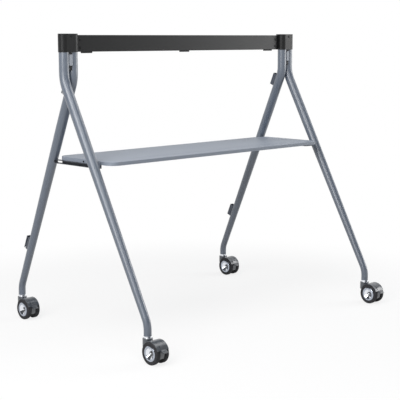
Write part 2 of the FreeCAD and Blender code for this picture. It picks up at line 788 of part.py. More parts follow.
def brake_pedal():
    """A lever that comes down in front of the hood, flares into a lip and turns on two stub pins."""
    half = pedal_half_width
    middle = (pedal_rear_angle + pedal_bend_angle) / 2
    inner_middle = (pedal_rear_angle + pedal_foot_angle) / 2
    outer_top = axle_point(pedal_outer_radius, pedal_rear_angle, -half)
    outer_bend = axle_point(pedal_outer_radius, pedal_bend_angle, -half)
    root = axle_point(pedal_root_radius, pedal_root_angle, -half)
    foot = axle_point(pedal_inner_radius, pedal_foot_angle, -half)
    inner_top = axle_point(pedal_inner_radius, pedal_rear_angle, -half)
    edges = [
        Part.Arc(outer_top, axle_point(pedal_outer_radius, middle, -half), outer_bend).toShape(),
        Part.makeLine(outer_bend, root),
        Part.makeLine(root, lip_point(pedal_lip_radius, -half)),
        Part.makeLine(lip_point(pedal_lip_radius, -half), lip_point(-pedal_lip_radius, -half)),
        Part.makeLine(lip_point(-pedal_lip_radius, -half), foot),
        Part.Arc(foot, axle_point(pedal_inner_radius, inner_middle, -half), inner_top).toShape(),
        Part.makeLine(inner_top, outer_top),
    ]
    plate = Part.Face(Part.Wire(edges)).extrude(Vector(2 * half, 0, 0))
    lip = rod(pedal_lip_radius, lip_point(0, -half), lip_point(0, half))
    tongue_half = pedal_tongue_half_width
    tongue = sector(pedal_pivot_radius, pedal_inner_radius + pedal_tongue_overlap,
                    pedal_pivot_angle - pedal_tongue_spread, pedal_pivot_angle + pedal_tongue_spread,
                    -tongue_half, tongue_half)
    pivot = axle_point(pedal_pivot_radius, pedal_pivot_angle)
    across = Vector(tongue_half, 0, 0)
    knuckle = rod(pedal_knuckle_radius, pivot - across, pivot + across)
    stub = across + Vector(trunnion_length, 0, 0)
    trunnions = rod(trunnion_radius, pivot - stub, pivot + stub)
    return fuse_all([plate, lip, tongue, knuckle, trunnions])


def turned(points, sign):
    """A ring turned about the axle from an outline of (x, radius) corners or arcs through three."""
    edges = []
    places = {}
    for index, corner in enumerate(points):
        places[index] = Vector(sign * corner[0], -trail, wheel_radius + corner[1])
    index = 0
    count = len(points)
    while index < count:
        following = (index + 1) % count
        if len(points[following]) == 3:
            last = (index + 2) % count
            edges.append(Part.Arc(places[index], places[following], places[last]).toShape())
            index += 2
        else:
            edges.append(Part.makeLine(places[index], places[following]))
            index += 1
    face = Part.Face(Part.Wire(edges))
    return face.revolve(axle_point(0, 0), Vector(1, 0, 0), 360)


def tyre(sign):
    """A black tyre with rounded shoulders and a side wall that reaches in to the chromed ring."""
    low = wheel_inner_x
    high = wheel_face_x
    soft = wheel_shoulder_radius
    bulge = soft * (1 - math.sqrt(0.5))
    seat = tyre_seat_radius + running_clearance
    lip = tyre_lip_radius + running_clearance
    step_x = high - tyre_lip_width
    return turned([
        (low, seat),
        (low, wheel_radius - soft),
        (low + bulge, wheel_radius - bulge, "arc"),
        (low + soft, wheel_radius),
        (high - soft, wheel_radius),
        (high - bulge, wheel_radius - bulge, "arc"),
        (high, wheel_radius - soft),
        (high, lip),
        (step_x, lip),
        (step_x, seat),
    ], sign)


def hub(sign):
    """A chromed wheel centre: rounded ring, deep dish, domed boss, and a pocket on its inner side."""
    low = wheel_inner_x + hub_inset
    high = wheel_face_x
    step_x = high - tyre_lip_width - running_clearance
    ring_middle = (tyre_lip_radius + hub_ring_inner_radius) / 2
    dish_x = high - hub_dish_depth
    bore = axle_radius + running_clearance
    bore_x = low + axle_bore_depth
    boss_x = dish_x + hub_boss_height
    pocket_outer = tyre_seat_radius - hub_rim_wall
    pocket_x = low + hub_pocket_depth
    return turned([
        (low, bore),
        (low, hub_pocket_inner_radius),
        (pocket_x, hub_pocket_inner_radius),
        (pocket_x, pocket_outer),
        (low, pocket_outer),
        (low, tyre_seat_radius),
        (step_x, tyre_seat_radius),
        (step_x, tyre_lip_radius),
        (high, tyre_lip_radius),
        (high + hub_ring_crest, ring_middle, "arc"),
        (high, hub_ring_inner_radius),
        (dish_x, hub_dish_radius),
        (boss_x, hub_boss_flat_radius),
        (boss_x, 0),
        (bore_x, 0),
        (bore_x, bore),
    ], sign)


def stem():
    """The steel pin in the foot of a leg that the housing turns about."""
    shoulder_z = barrel_top_z - barrel_recess + body_clearance
    top_z = leg_end_z + socket_height - socket_bore_play
    pivot_pin = rod(stem_radius, Vector(0, 0, stem_foot_z + body_clearance), Vector(0, 0, shoulder_z))
    thread = rod(stem_thread_radius, Vector(0, 0, shoulder_z), Vector(0, 0, top_z))
    return fuse_all([pivot_pin, thread])


def collar():
    """The chromed ring that shows between a leg's foot and its caster."""
    low_z = barrel_top_z - barrel_recess + body_clearance
    ring = rod(foot_radius, Vector(0, 0, low_z), Vector(0, 0, leg_end_z))
    bore = rod(stem_thread_radius + running_clearance, Vector(0, 0, low_z - cut_overrun),
               Vector(0, 0, leg_end_z + cut_overrun))
    return ring.cut(bore)


def foot_socket():
    """The threaded plug in the foot of a leg."""
    radius = foot_radius - leg_wall - socket_bore_play
    plug = rod(radius, Vector(0, 0, leg_end_z), Vector(0, 0, leg_end_z + socket_height))
    bore = rod(stem_thread_radius + running_clearance, Vector(0, 0, leg_end_z - cut_overrun),
               Vector(0, 0, leg_end_z + socket_height + cut_overrun))
    return plug.cut(bore)


def at_foot(shape, side, end):
    """A caster piece moved to the foot of one leg."""
    reach = leg_sizes(end)[0]
    placed = shape.copy()
    placed.translate(Vector(leg_x(side, end), ends[end] * reach, 0))
    return placed


def build_legs():
    """Four legs with their joints at the top."""
    for side in sides:
        for end in ends:
            save(side + "_" + end + "_leg", leg(side, end))
        save(side + "_end_cap", end_cap(side))
        save(side + "_leg_spacer", leg_spacer(side))
        save(side + "_tie_plate", tie_plate(side))
    save("cap_screws", Part.makeCompound([cap_screw(side) for side in sides]))


def build_beam():
    """The beam, its spigots, screws and pads."""
    save("beam", beam())
    screws = []
    for side in sides:
        save(side + "_beam_spigot", beam_spigot(side))
        screws += beam_screws(side)
    save("beam_screws", Part.makeCompound(screws))
    pad_x = beam_half_length - pad_inset
    for name, centre_x in (("left", -pad_x), ("middle", 0), ("right", pad_x)):
        save(name + "_rest_pad", rest_pad(centre_x))


def build_shelf():
    """The shelf, its rails, brackets and fasteners."""
    save("shelf", shelf())
    bolts = []
    nuts = []
    for side in sides:
        save(side + "_shelf_rail", side_rail(side))
        save(side + "_shelf_bracket", shelf_bracket(side))
        bolts += shelf_bolts(side)
        nuts += shelf_nuts(side)
    save("shelf_bolts", Part.makeCompound(bolts))
    save("shelf_nuts", Part.makeCompound(nuts))


def build_clips():
    """Two cable channels on each rear leg."""
    for side in sides:
        save(side + "_upper_cable_clip", cable_clip(side, clip_upper_z))
        save(side + "_lower_cable_clip", cable_clip(side, clip_lower_z))


def build_casters():
    """Four casters, with the fixed pieces in the legs' feet as groups."""
    shared = {"caster_stems": stem(), "caster_collars": collar(), "leg_foot_sockets": foot_socket()}
    for name, piece in shared.items():
        group = [at_foot(piece, side, end) for side in sides for end in ends]
        save(name, Part.makeCompound(group))
    pieces = {
        "caster_housing": caster_housing(),
        "axle": caster_axle(),
        "brake_pedal": brake_pedal(),
        "left_tyre": tyre(-1),
        "right_tyre": tyre(1),
        "left_hub": hub(-1),
        "right_hub": hub(1),
    }
    for side in sides:
        for end in ends:
            for name, piece in pieces.items():
                save(side + "_" + end + "_" + name, at_foot(piece, side, end))


os.makedirs("parts", exist_ok=True)
build_legs()
build_beam()
build_shelf()
build_clips()
build_casters()
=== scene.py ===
"""Looks for the mobile television stand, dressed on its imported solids.

The stand faces -Y, X runs along the beam and Z is up, in metres.  Each sub-assembly is a class that dresses
its solids and adds the small surfaces that the solids leave plain; main() builds them in order.
"""

import json
import logging
import math
from dataclasses import dataclass, field
from enum import Enum
from typing import Any, Sequence, Union

import bmesh
import bpy
import numpy as np
from mathutils import Matrix, Vector


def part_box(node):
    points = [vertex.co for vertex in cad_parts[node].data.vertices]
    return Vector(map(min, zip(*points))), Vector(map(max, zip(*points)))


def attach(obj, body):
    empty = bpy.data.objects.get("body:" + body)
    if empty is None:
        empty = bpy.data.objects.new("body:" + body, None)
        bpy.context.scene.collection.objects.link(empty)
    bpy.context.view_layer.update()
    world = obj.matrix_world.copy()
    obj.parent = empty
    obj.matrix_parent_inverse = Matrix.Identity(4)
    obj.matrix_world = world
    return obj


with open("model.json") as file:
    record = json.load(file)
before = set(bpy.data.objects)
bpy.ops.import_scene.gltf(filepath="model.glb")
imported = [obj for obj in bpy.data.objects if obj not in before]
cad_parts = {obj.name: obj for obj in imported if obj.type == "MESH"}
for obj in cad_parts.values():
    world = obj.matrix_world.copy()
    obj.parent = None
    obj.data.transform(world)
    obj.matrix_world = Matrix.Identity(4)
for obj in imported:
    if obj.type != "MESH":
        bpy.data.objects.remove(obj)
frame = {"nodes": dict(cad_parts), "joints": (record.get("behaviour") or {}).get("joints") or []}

LOG = logging.getLogger("stand")
MM = 0.001
TURN = 2.0 * math.pi
STAND = "stand"
X, Y, Z = range(3)
CLEAR = 1.0  # metres off, or up, where a ray starts
MEAN_NOISE = 0.5  # middle of a noise node's range
SCREW_RING_STEPS = 40  # points about a ring at a screw or bolt
ROUND_END_SHARES = np.linspace(0.15, 1.0, 5)  # shares of the quarter circle at each end of a capsule
WELD_SWELL = 0.16  # share by which each drop of metal swells a bead
WELD_END_SHARE = 0.25  # least share of a bead's thickness, squared, at its ends
Colour = tuple[float, float, float]
Point = Sequence[float]


class Where(Enum):
    """A choice whose name is part of the names of nodes."""

    @property
    def word(self) -> str:
        """Word used in the names of nodes."""
        return self.name.lower()


class Side(Where):
    """Left and right ends of the stand, with the sign of their X."""

    LEFT = -1
    RIGHT = 1


class End(Where):
    """Front and rear legs, with the sign of their Y."""

    FRONT = -1
    REAR = 1


# Shader building


class Sock:
    """A shader value that takes part in Python arithmetic.

    Args:
        kit: The material's node maker.
        link: The output socket that carries the value.
    """

    def __init__(self, kit: "NodeKit", link: bpy.types.NodeSocket) -> None:
        """Keep the node maker and the socket."""
        self.kit = kit
        self.link = link

    def _maths(self, operation: str, first: Any, second: Any) -> "Sock":
        """Join two values with one Math node."""
        return self.kit.node("ShaderNodeMath", {"operation": operation}, {0: first, 1: second})

    def __add__(self, other: Any) -> "Sock":
        """Sum."""
        return self._maths("ADD", self, other)

    __radd__ = __add__

    def __sub__(self, other: Any) -> "Sock":
        """Difference."""
        return self._maths("SUBTRACT", self, other)

    def __rsub__(self, other: Any) -> "Sock":
        """Difference from a number on the left."""
        return self._maths("SUBTRACT", other, self)

    def __mul__(self, other: Any) -> "Sock":
        """Product."""
        return self._maths("MULTIPLY", self, other)

    __rmul__ = __mul__

    def __pow__(self, other: Any) -> "Sock":
        """Power."""
        return self._maths("POWER", self, other)

    def clamp(self) -> "Sock":
        """The value held between 0 and 1."""
        return self.kit.node("ShaderNodeClamp", {}, {"Value": self})

    def above(self, edge: float, soft: float) -> "Sock":
        """A smooth step from 0 to 1 over a width about an edge."""
        sockets = {"Value": self, "From Min": edge - soft, "From Max": edge + soft}
        return self.kit.node("ShaderNodeMapRange", {"interpolation_type": "SMOOTHSTEP"}, sockets)


@dataclass
class NodeKit:
    """Makes the nodes of one material or world.

    mix_places holds the places of a Mix node's factor, two colours and mixed colour among its sockets.
    """

    tree: bpy.types.NodeTree
    mix_places: tuple[int, int, int, int] = (0, 6, 7, 2)

    def node(self, kind: str, settings: dict[str, Any], sockets: dict[Any, Any], out: Any = 0) -> Sock:
        """Make one node.

        Args:
            kind: The node's type name.
            settings: Values of the node's own properties, set first.
            sockets: Input names or places, with numbers, colours or links.
            out: Name or place of the output that is handed back.

        Returns:
            The chosen output, ready for arithmetic.
        """
        made = self.tree.nodes.new(kind)
        for name, value in settings.items():
            setattr(made, name, value)
        for name, value in sockets.items():
            target = made.inputs[name]
            if isinstance(value, Sock):
                self.tree.links.new(value.link, target)
            elif isinstance(value, tuple) and len(value) == 3 and len(target.default_value) == 4:
                target.default_value = (*value, 1.0)
            else:
                target.default_value = value
        return Sock(self, made.outputs[out] if len(made.outputs) else None)

    def place(self) -> Sock:
        """Object coordinates."""
        return self.node("ShaderNodeTexCoord", {}, {}, "Object")

    def axes(self, vector: Sock) -> list[Sock]:
        """The three parts of a vector."""
        split = self.node("ShaderNodeSeparateXYZ", {}, {"Vector": vector})
        return [Sock(self, part) for part in split.link.node.outputs]

    def stretched(self, vector: Sock, scale: Colour) -> Sock:
        """Coordinates scaled along each axis."""
        return self.node("ShaderNodeMapping", {}, {"Vector": vector, "Scale": scale})

    def noise(self, vector: Sock, scale: float, detail: float = 2.0) -> Sock:
        """Fractal noise between 0 and 1."""
        return self.node("ShaderNodeTexNoise", {}, {"Vector": vector, "Scale": scale, "Detail": detail}, "Fac")

    def towards(self, vector: Sock, azimuth: float, elevation: float) -> Sock:
        """Cosine of the angle between a unit vector and a direction.

        Args:
            vector: The unit vector.
            azimuth: The direction's turn from X about Z, in degrees.
            elevation: Its rise above the level, in degrees.

        Returns:
            The cosine.
        """
        turn, rise = math.radians(azimuth), math.radians(elevation)
        aim = (math.cos(turn) * math.cos(rise), math.sin(turn) * math.cos(rise), math.sin(rise))
        return self.node("ShaderNodeVectorMath", {"operation": "DOT_PRODUCT"}, {0: vector, 1: aim}, "Value")

    def cells(self, vector: Sock, scale: float) -> Sock:
        """Distance to the nearest of scattered points, for grain."""
        return self.node("ShaderNodeTexVoronoi", {}, {"Vector": vector, "Scale": scale}, "Distance")

    def blend(self, amount: Any, first: Any, second: Any) -> Sock:
        """Mix of two colours.

        Args:
            amount: Share of the second colour.
            first: Colour at 0.
            second: Colour at 1.

        Returns:
            The mixed colour.
        """
        factor, colour_a, colour_b, colour_out = self.mix_places
        sockets = {factor: amount, colour_a: first, colour_b: second}
        return self.node("ShaderNodeMix", {"data_type": "RGBA"}, sockets, colour_out)

    def bump(self, height: Sock, strength: float, distance: float) -> Sock:
        """A normal bent by a height map."""
        sockets = {"Height": height, "Strength": strength, "Distance": distance}
        return self.node("ShaderNodeBump", {}, sockets, "Normal")


def fresh_kit(owner: Union[bpy.types.Material, bpy.types.World]) -> NodeKit:
    """Give a material or world an empty node tree.

    Args:
        owner: The material or world.

    Returns:
        The node maker of its tree.
    """
    owner.use_nodes = True
    owner.node_tree.nodes.clear()
    return NodeKit(owner.node_tree)


def toned(colour: Colour, share: float) -> Colour:
    """A colour multiplied by a share, each part held at 1 or less."""
    return tuple(min(1.0, part * share) for part in colour)


@dataclass(frozen=True)
class Finish:
    """What all finishes share: a name, a colour and the shader's fixed numbers."""

    name: str
    colour: Colour
    roughness: float = 0.5
    metallic: float = 0.0
    coat: float = 0.0
    coat_roughness: float = 0.1
    specular: float = 0.5

    def pattern(self, kit: NodeKit) -> dict[str, Any]:
        """Sockets that vary over the surface; a plain finish has none."""
        return {}

    def make(self) -> bpy.types.Material:
        """Build the material, or hand back the one already built.

        Returns:
            The finished material.
        """
        known = bpy.data.materials.get(self.name)
        if known is not None:
            return known
        material = bpy.data.materials.new(self.name)
        kit = fresh_kit(material)
        sockets: dict[str, Any] = {
            "Base Color": self.colour,
            "Roughness": self.roughness,
            "Metallic": self.metallic,
            "Coat Weight": self.coat,
            "Coat Roughness": self.coat_roughness,
            "Specular IOR Level": self.specular,
        }
        sockets.update(self.pattern(kit))
        shader = kit.node("ShaderNodeBsdfPrincipled", {}, sockets)
        kit.node("ShaderNodeOutputMaterial", {}, {"Surface": shader})
        return material


@dataclass(frozen=True)
class PowderCoat(Finish):
    """Baked powder paint: soft orange-peel ripple, fine sparkle and slight cloudiness."""

    ripple: float = 0.05
    ripple_depth: float = 0.4 * MM
    cloud: float = 0.04
    fleck: float = 0.0
    fleck_edge: float = 0.62
    fleck_soft: float = 0.06
    fleck_tone: float = 1.5
    peel_scale: float = 420.0
    cloud_scale: float = 9.0
    grain_scale: float = 2600.0
    cloud_gloss: float = 0.05
    peel_gloss: float = 0.06

    def pattern(self, kit: NodeKit) -> dict[str, Any]:
        """Colour, roughness and ripple of the coat.

        Args:
            kit: The node maker.

        Returns:
            Values by socket name.
        """
        place = kit.place()
        peel = kit.noise(place, self.peel_scale)
        cloud = kit.noise(place, self.cloud_scale, detail=3.0)
        grain = kit.noise(place, self.grain_scale, detail=1.0)
        shade = kit.blend(cloud, toned(self.colour, 1.0 - self.cloud), toned(self.colour, 1.0 + self.cloud))
        speckle = grain.above(self.fleck_edge, self.fleck_soft) * self.fleck
        dulled = self.cloud_gloss * (cloud - MEAN_NOISE) + self.peel_gloss * (peel - MEAN_NOISE)
        return {
            "Base Color": kit.blend(speckle, shade, toned(self.colour, self.fleck_tone)),
            "Roughness": self.roughness + dulled,
            "Normal": kit.bump(peel, self.ripple, self.ripple_depth),
        }


@dataclass(frozen=True)
class Moulding(Finish):
    """Moulded plastic: a fine eroded grain with faint flow marks."""

    grain: float = 0.12
    grain_scale: float = 900.0
    grain_depth: float = 0.3 * MM
    flow_stretch: Colour = (1.0, 1.0, 0.4)
    flow_scale: float = 22.0
    flow_tone: float = 0.14
    flow_gloss: float = 0.08

    def pattern(self, kit: NodeKit) -> dict[str, Any]:
        """Colour, roughness and grain of the plastic.

        Args:
            kit: The node maker.

        Returns:
            Values by socket name.
        """
        place = kit.place()
        pits = kit.cells(place, self.grain_scale)
        flow = kit.noise(kit.stretched(place, self.flow_stretch), self.flow_scale, detail=3.0)
        dark, light = toned(self.colour, 1.0 - self.flow_tone), toned(self.colour, 1.0 + self.flow_tone)
        return {
            "Base Color": kit.blend(flow, dark, light),
            "Roughness": self.roughness + self.flow_gloss * (flow - MEAN_NOISE),
            "Normal": kit.bump(pits, self.grain, self.grain_depth),
        }


@dataclass(frozen=True)
class Plating(Finish):
    """Bright plating with a very faint haze."""

    haze_scale: float = 60.0
    haze_gloss: float = 0.05
    haze_clear: float = 0.3
    haze_bump: float = 0.02
    haze_depth: float = 0.5 * MM

    def pattern(self, kit: NodeKit) -> dict[str, Any]:
        """Haze in the polish.

        Args:
            kit: The node maker.

        Returns:
            Values by socket name.
        """
        haze = kit.noise(kit.place(), self.haze_scale, detail=4.0)
        return {
            "Roughness": self.roughness + self.haze_gloss * (haze - self.haze_clear),
            "Normal": kit.bump(haze, self.haze_bump, self.haze_depth),
        }


@dataclass(frozen=True)
class HubPlating(Plating):
    """A plated wheel cover: a satin ring whose blue-grey tone is a painted reflection, a bright dish, a dark boss
    painted as the dark reflection in the middle of the dish, and a dark back without metal.

    The zones go by the distance from the axle's line and from the caster's middle plane.
    """

    middle: float = 0.0
    axle: tuple[float, float] = (0.0, 0.0)
    back_depth: float = 21.7 * MM
    boss_radius: float = 9.3 * MM
    dish_radius: float = 22.6 * MM
    edge: float = 0.3 * MM
    # Blue-grey tone of the ring: a painted reflection.
    ring_colour: Colour = (0.42, 0.45, 0.51)
    ring_gloss: float = 0.1
    # Dark colour of the boss, which is a painted dark reflection, and of the back towards the caster's middle.
    dark: Colour = (0.022, 0.023, 0.025)
    dark_gloss: float = 0.25

    def pattern(self, kit: NodeKit) -> dict[str, Any]:
        """Colour and metal of each zone, and what each adds to the roughness of the haze; the dark boss and the ring's
        blue-grey tone are painted reflection.

        Args:
            kit: The node maker.

        Returns:
            Values by socket name.
        """
        across, along, rise = kit.axes(kit.place())
        offset = (across * across) ** 0.5 - self.middle
        front = ((offset * offset) ** 0.5).above(self.back_depth, self.edge)
        along, rise = along - self.axle[0], rise - self.axle[1]
        radius = (along * along + rise * rise) ** 0.5
        ring_zone = radius.above(self.dish_radius, self.edge)
        plated = front * radius.above(self.boss_radius, self.edge)
        sockets = super().pattern(kit)
        # Painted reflection: the boss is dark and the ring takes its blue-grey reflection tone.
        sockets["Base Color"] = kit.blend(plated, self.dark, kit.blend(ring_zone, self.colour, self.ring_colour))
        sockets["Metallic"] = plated
        sockets["Roughness"] += self.ring_gloss * ring_zone + self.dark_gloss * (1.0 - plated)
        return sockets


@dataclass(frozen=True)
class Brushed(Finish):
    """Brushed metal: long fine scratches along one axis."""

    grain: Colour = (1.0, 1.0, 0.02)
    line_scale: float = 1800.0
    line_tone: float = 0.85
    line_gloss: float = 0.12
    line_bump: float = 0.08
    line_depth: float = 0.2 * MM

    def pattern(self, kit: NodeKit) -> dict[str, Any]:
        """Scratches in colour, roughness and height.

        Args:
            kit: The node maker.

        Returns:
            Values by socket name.
        """
        lines = kit.noise(kit.stretched(kit.place(), self.grain), self.line_scale, detail=3.0)
        return {
            "Base Color": kit.blend(lines, toned(self.colour, self.line_tone), self.colour),
            "Roughness": self.roughness + self.line_gloss * (lines - MEAN_NOISE),
            "Normal": kit.bump(lines, self.line_bump, self.line_depth),
        }


@dataclass(frozen=True)
class Rubber(Finish):
    """Tyre compound: dull and faintly dusty low down."""

    dust: Colour = (0.16, 0.16, 0.17)
    dust_height: float = 12.0 * MM
    dust_all_over: float = 0.12
    dust_low_down: float = 0.22
    mottle_scale: float = 70.0
    mottle_gloss: float = 0.12
    grain_scale: float = 900.0
    grain_bump: float = 0.08
    grain_depth: float = 0.3 * MM

    def pattern(self, kit: NodeKit) -> dict[str, Any]:
        """Mottling, dust near the floor and a fine grain.

        Args:
            kit: The node maker.

        Returns:
            Values by socket name.
        """
        place = kit.place()
        _, _, height = kit.axes(place)
        mottle = kit.noise(place, self.mottle_scale, detail=4.0)
        low = 1.0 - height.above(self.dust_height, self.dust_height)
        amount = (self.dust_all_over * mottle + self.dust_low_down * low * mottle).clamp()
        grain = kit.noise(place, self.grain_scale)
        return {
            "Base Color": kit.blend(amount, self.colour, self.dust),
            "Roughness": self.roughness + self.mottle_gloss * (mottle - MEAN_NOISE),
            "Normal": kit.bump(grain, self.grain_bump, self.grain_depth),
        }


LEG_PAINT = PowderCoat("leg_powder_coat", (0.11, 0.136, 0.18), roughness=0.37, coat=0.45, coat_roughness=0.28,
                       specular=1.0, ripple=0.004, fleck=0.05)
SHELF_PAINT = PowderCoat("shelf_powder_coat", (0.285, 0.32, 0.38), roughness=0.5, fleck=0.2)
RAIL_PAINT = PowderCoat("rail_dark_coat", (0.055, 0.061, 0.073), roughness=0.5, specular=0.3)
BEAM_PAINT = PowderCoat("beam_black_coat", (0.01, 0.0104, 0.011), roughness=0.36, coat=0.04, coat_roughness=0.36,
                        specular=0.25, ripple=0.1, cloud=0.08, fleck=0.1)
CAP_PLASTIC = Moulding("cap_black_moulding", (0.008, 0.0083, 0.0087), roughness=0.38, coat=0.06, coat_roughness=0.34,
                       specular=0.26)
FILLER_PLASTIC = Moulding("filler_black_moulding", (0.01, 0.01, 0.011), roughness=0.6)
CLIP_PLASTIC = Moulding("clip_grey_moulding", (0.09, 0.103, 0.13), roughness=0.45)
HOOD_PLASTIC = Moulding("hood_dark_moulding", (0.04, 0.049, 0.063), roughness=0.34, coat=0.45, coat_roughness=0.3,
                        specular=1.0, grain=0.04)
PEDAL_PLASTIC = Moulding("pedal_dark_moulding", (0.062, 0.07, 0.083), roughness=0.3, coat=0.5,
                         coat_roughness=0.25, specular=1.0, grain=0.04)
BARE_METAL = Brushed("bare_satin_metal", (0.47, 0.5, 0.55), roughness=0.6, metallic=0.1, specular=0.3)
WELD_PAINT = PowderCoat("weld_powder_coat", (0.16, 0.19, 0.235), roughness=0.4, coat=0.25, coat_roughness=0.3,
                        ripple=0.2)
PIN_STEEL = Brushed("turned_pin_steel", (0.45, 0.46, 0.48), roughness=0.35, metallic=1.0, grain=(0.02, 1.0, 1.0))
CHROME = Plating("hub_chrome", (0.82, 0.84, 0.88), roughness=0.08, metallic=1.0)
BLACK_FIXING = Brushed("blackened_fixing", (0.028, 0.028, 0.03), roughness=0.5, metallic=0.1, specular=0.25)
TYRE = Rubber("tyre_rubber", (0.06, 0.061, 0.063), roughness=0.42, specular=0.7)


def dress(finish: Finish, *names: str) -> None:
    """Give CAD nodes a finish.

    Args:
        finish: The finish for all of them.
        names: The nodes' names.
    """
    for name in names:
        mesh = frame["nodes"][name].data
        mesh.materials.clear()
        mesh.materials.append(finish.make())


# Surfaces worked out as arrays


def skin(name: str, grid: np.ndarray, wrap_rows: bool, wrap_columns: bool,
         poles: tuple[np.ndarray, ...] = ()) -> bpy.types.Object:
    """Join a grid of points into a smooth surface whose faces look outward.

    Args:
        name: The object's name.
        grid: Points as an array of rows, columns and three coordinates.
        wrap_rows: Whether the last row joins the first.
        wrap_columns: Whether the last column joins the first.
        poles: A point that closes the first row and one that closes the last, or nothing.

    Returns:
        The new object, in the scene's collection.
    """
    rows, columns = grid.shape[:2]
    across = np.arange(rows if wrap_rows else rows - 1)
    along = np.arange(columns if wrap_columns else columns - 1)
    first, second = np.meshgrid(across, along, indexing="ij")
    next_row, next_column = (first + 1) % rows, (second + 1) % columns
    quads = np.stack([first * columns + second, next_row * columns + second,
                      next_row * columns + next_column, first * columns + next_column], axis=-1)
    faces = [tuple(face) for face in quads.reshape(-1, 4).tolist()]
    points = grid.reshape(-1, 3)
    for pole, row in zip(poles, (0, rows - 1)):
        tip = len(points)
        points = np.concatenate([points, pole[None, :]])
        start = row * columns
        faces += [(tip, start + column, start + (column + 1) % columns) for column in range(columns)]
    mesh = bpy.data.meshes.new(name)
    mesh.from_pydata(points.tolist(), [], faces)
    shell = bmesh.new()
    shell.from_mesh(mesh)
    bmesh.ops.recalc_face_normals(shell, faces=shell.faces)
    shell.to_mesh(mesh)
    shell.free()
    mesh.polygons.foreach_set("use_smooth", np.ones(len(mesh.polygons), dtype=bool))
    mesh.update()
    made = bpy.data.objects.new(name, mesh)
    bpy.context.scene.collection.objects.link(made)
    return made


def unit(vectors: np.ndarray) -> np.ndarray:
    """Vectors scaled to length one."""
    return vectors / np.linalg.norm(vectors, axis=-1, keepdims=True)


def moved_to(point: Point, axis: int, value: float) -> np.ndarray:
    """A copy of a point with one of its coordinates replaced."""
    return np.array([value if place == axis else part for place, part in enumerate(point)], dtype=float)


def tube(name: str, path: np.ndarray, radius: Union[float, np.ndarray], loop: bool = False,
         sides: int = 10) -> bpy.types.Object:
    """Carry a circle along a path.

    At each point of the path a circle stands square to the way ahead.  Its two axes are the way ahead crossed
    with the axis that the path uses least, and the way ahead crossed with that.

    Args:
        name: The object's name.
        path: Points of the path, one to a row.
        radius: Radius of the circle, for all points or for each.
        loop: Whether the path closes on itself; an open one is closed by a point at each end.
        sides: Points about the circle.

    Returns:
        The new object.
    """
    ahead = np.roll(path, -1, axis=0) - np.roll(path, 1, axis=0)
    if not loop:
        ahead[0] = path[1] - path[0]
        ahead[-1] = path[-1] - path[-2]
    ahead = unit(ahead)
    least_used = np.eye(3)[np.argmin(np.abs(ahead).max(axis=0))]
    side = unit(np.cross(ahead, least_used))
    other = np.cross(ahead, side)
    angle = np.linspace(0.0, TURN, sides, endpoint=False)[None, :, None]
    reach = np.broadcast_to(radius, (len(path),))[:, None, None]
    grid = path[:, None, :] + reach * (np.cos(angle) * side[:, None, :] + np.sin(angle) * other[:, None, :])
    if loop:
        return skin(name, grid, True, True)
    ends = (path[0] - ahead[0] * reach[0, 0, 0] / 2, path[-1] + ahead[-1] * reach[-1, 0, 0] / 2)
    return skin(name, grid, False, True, ends)


def arc_path(centre: np.ndarray, axis: int, radius: float, first: float, last: float, steps: int) -> np.ndarray:
    """Points on an arc about one of the three axes; a whole turn leaves out its last point.

    Args:
        centre: Middle of the arc.
        axis: X, Y or Z.
        radius: Radius of the arc.
        first: Angle of the first point in radians.
        last: Angle of the last point.
        steps: How many points.

    Returns:
        The points, one to a row.
    """
    angle = np.linspace(first, last, steps, endpoint=not math.isclose(last - first, TURN))
    points = np.zeros((steps, 3))
    points[:, (axis + 1) % 3] = radius * np.cos(angle)
    points[:, (axis + 2) % 3] = radius * np.sin(angle)
    return centre + points


def ring(name: str, centre: np.ndarray, axis: int, radius: float, thick: float, steps: int = 64,
         sides: int = 10) -> bpy.types.Object:
    """A ring of round section about one of the three axes.

    Args:
        name: The object's name.
        centre: Middle of the ring.
        axis: X, Y or Z.
        radius: Radius of its middle line.
        thick: Radius of its section.
        steps: Points about the ring.
        sides: Points about the section.

    Returns:
        The new object.
    """
    return tube(name, arc_path(centre, axis, radius, 0.0, TURN, steps), thick, True, sides)


def capsule(name: str, start: np.ndarray, end: np.ndarray, radius: float) -> bpy.types.Object:
    """A straight rod with round ends.

    The radius follows a quarter of a circle at each end, and is even between them.

    Args:
        name: The object's name.
        start: One tip.
        end: The other tip.
        radius: Its radius.

    Returns:
        The new object.
    """
    length = float(np.linalg.norm(end - start))
    rise = ROUND_END_SHARES * math.pi / 2
    inward = radius * (1.0 - np.cos(rise))
    places = np.concatenate([inward, length - inward[::-1]])
    reach = radius * np.concatenate([np.sin(rise), np.sin(rise)[::-1]])
    path = start + places[:, None] * unit(end - start)
    return tube(name, path, reach)


def weld_bead(name: str, path: np.ndarray, radius: float, pitch: float) -> bpy.types.Object:
    """A bead along a joint, which swells once for each drop of metal and thins towards its ends.

    Args:
        name: The object's name.
        path: Points along the joint.
        radius: Mean radius of the bead.
        pitch: Distance from drop to drop.

    Returns:
        The new object.
    """
    steps = np.linalg.norm(np.diff(path, axis=0), axis=1)
    run = np.concatenate([[0.0], np.cumsum(steps)])
    swell = 1.0 + WELD_SWELL * np.abs(np.sin(math.pi * run / pitch))
    fade = np.clip(np.minimum(run, run[-1] - run) / (2.0 * radius), WELD_END_SHARE, 1.0)
    return tube(name, path, radius * swell * np.sqrt(fade))


